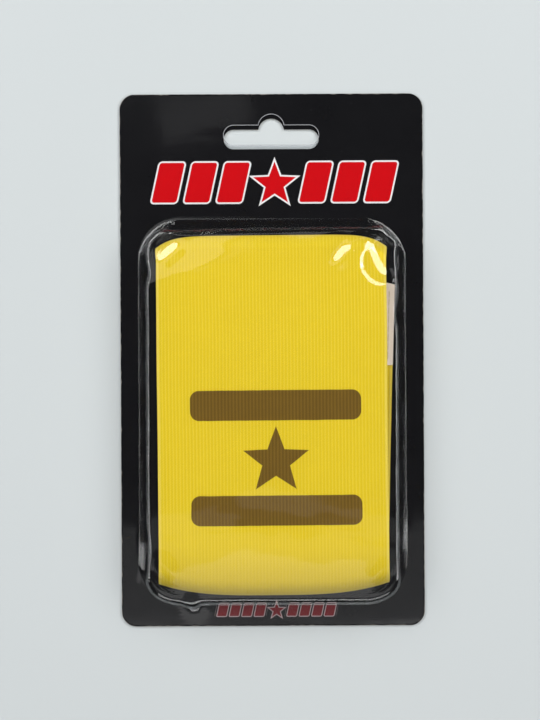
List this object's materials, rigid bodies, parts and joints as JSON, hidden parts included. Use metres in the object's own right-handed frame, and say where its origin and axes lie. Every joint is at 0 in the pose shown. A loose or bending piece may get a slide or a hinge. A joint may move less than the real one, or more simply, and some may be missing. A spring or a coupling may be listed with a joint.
{
  "type": "captain armband on blister card",
  "caption": "Looped elastic captain's armband with hook-and-loop ends, pressed flat under a clear formed shell on a black card with a hanging slot.",
  "frame": {"origin": "middle of the card's back face, on the surface that the card lies on", "axes": "+X across the band to the right, +Y up the card towards the hanging slot, +Z out of the card's printed face"},
  "size_m": [0.1022, 0.1794, 0.0151],
  "materials": {
    "card": "black, glossy print",
    "film": "clear and glossy",
    "elastic": "ribbed yellow knit elastic with a dark brown printed motif",
    "hook_tape": "beige woven hook tape",
    "loop_tape": "beige brushed loop tape"
  },
  "bodies": {
    "root": {"backing_card": "card", "clear_shell": "film", "elastic_band": "elastic", "hook_patch": "hook_tape", "loop_patch": "loop_tape"}
  },
  "joints": []
}
